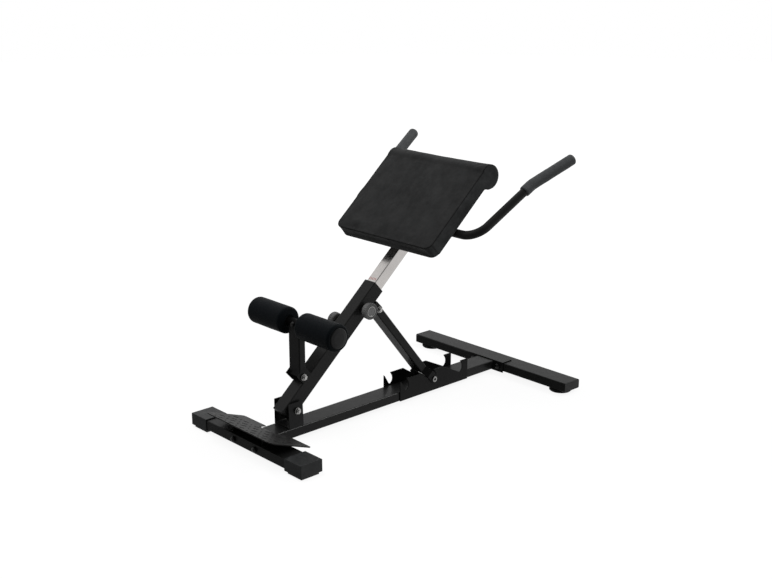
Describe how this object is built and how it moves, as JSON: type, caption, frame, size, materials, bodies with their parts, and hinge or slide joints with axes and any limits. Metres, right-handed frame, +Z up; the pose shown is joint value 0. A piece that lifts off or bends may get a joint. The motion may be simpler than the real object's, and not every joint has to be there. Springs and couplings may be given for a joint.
{
  "type": "hyperextension bench",
  "caption": "Floor bench for back extensions: H-shaped base with a foot plate, tilting upright on a notched strut, foam ankle rollers, sliding hip pad and handle bar.",
  "frame": {"origin": "on the floor, under the middle of the bounding box", "axes": "+X runs along the beam from the foot plate to the rear bar, +Y across to the side with the clamp screw, +Z up"},
  "size_m": [1.169, 0.7576, 0.8269],
  "materials": {
    "black_paint": "satin",
    "moulded_plastic": "satin",
    "black_rubber": "matte",
    "chrome": "polished",
    "zinc": "gloss",
    "foam": "matte",
    "upholstery": "matte",
    "plywood": "matte",
    "knob_plastic": "satin"
  },
  "bodies": {
    "base": {"front_bar": "black_paint", "front_cap_near": "moulded_plastic", "front_cap_far": "moulded_plastic", "foot_plate": "black_paint", "plate_rib_near": "black_paint", "plate_rib_far": "black_paint", "front_flange": "black_paint", "front_bolt_near": "moulded_plastic", "front_bolt_far": "moulded_plastic", "base_beam": "black_paint", "pivot_bracket": "black_paint", "pivot_bolt": "zinc", "pivot_nut": "zinc", "ladder_plate_near": "black_paint", "ladder_plate_far": "black_paint", "rear_flange": "black_paint", "rear_bolt_near": "zinc", "rear_bolt_far": "zinc", "rear_bar": "black_paint", "rear_plug_near": "moulded_plastic", "rear_plug_far": "moulded_plastic", "rear_foot_near": "black_rubber", "rear_foot_far": "black_rubber"},
    "upright": {"upright_tube": "black_paint", "upright_plug": "moulded_plastic", "mouth_liner": "moulded_plastic", "pivot_sleeve": "zinc", "strut_bracket": "black_paint", "strut_bolt": "zinc", "strut_nut": "zinc", "post_bracket": "black_paint", "post_bolt": "zinc", "post_nut": "zinc", "roller_post": "black_paint", "roller_axle": "black_paint", "axle_bolt": "zinc", "roller_cap_near": "moulded_plastic", "roller_cap_far": "moulded_plastic", "pull_boss": "black_paint", "clamp_boss": "black_paint"},
    "strut": {"strut_tube": "black_paint", "fork_ear_near": "black_paint", "fork_ear_far": "black_paint", "strut_pin": "zinc", "strut_pin_ring": "zinc"},
    "pad_slide": {"pad_post": "chrome", "pad_bracket": "black_paint", "pad_board": "plywood", "pad_cushion": "upholstery", "handle_bar": "black_paint", "grip_near": "foam", "grip_far": "foam", "grip_cap_near": "foam", "grip_cap_far": "foam"},
    "pull_pin": {"pull_knob": "knob_plastic", "pull_pin": "zinc"},
    "clamp_screw": {"clamp_knob": "knob_plastic", "clamp_screw": "zinc"},
    "near_roller": {"roller_near": "foam"},
    "far_roller": {"roller_far": "foam"}
  },
  "joints": [
    {"name": "upright_tilt", "type": "hinge", "parent": "base", "child": "upright", "pos_m": [-0.38298, 0, 0.0975], "axis": [0, -1, 0], "range_deg": [0, 45]},
    {"name": "strut_swing", "type": "hinge", "parent": "upright", "child": "strut", "pos_m": [-0.03617, 0, 0.34633], "axis": [0, -1, 0], "range_deg": [-50, 0]},
    {"name": "pad_height", "type": "slide", "parent": "upright", "child": "pad_slide", "axis": [0.7501, 0, 0.6613], "range_m": [0, 0.16]},
    {"name": "pull_pin_pull", "type": "slide", "parent": "upright", "child": "pull_pin", "axis": [0, -1, 0], "range_m": [0, 0.012], "stiffness_N_per_m": 800, "springref_m": -0.005},
    {"name": "clamp_turn", "type": "hinge", "parent": "upright", "child": "clamp_screw", "pos_m": [-0.15022, 0, 0.31617], "axis": [0, 1, 0], "range_deg": [0, 360]},
    {"name": "near_roller_spin", "type": "hinge", "parent": "upright", "child": "near_roller", "pos_m": [-0.34962, 0, 0.3627], "axis": [0, 1, 0], "continuous": true},
    {"name": "far_roller_spin", "type": "hinge", "parent": "upright", "child": "far_roller", "pos_m": [-0.34962, 0, 0.3627], "axis": [0, 1, 0], "continuous": true}
  ],
  "couplings": [
    {"joint": "strut_swing", "follows": "upright_tilt", "ratio": -1.1}
  ]
}
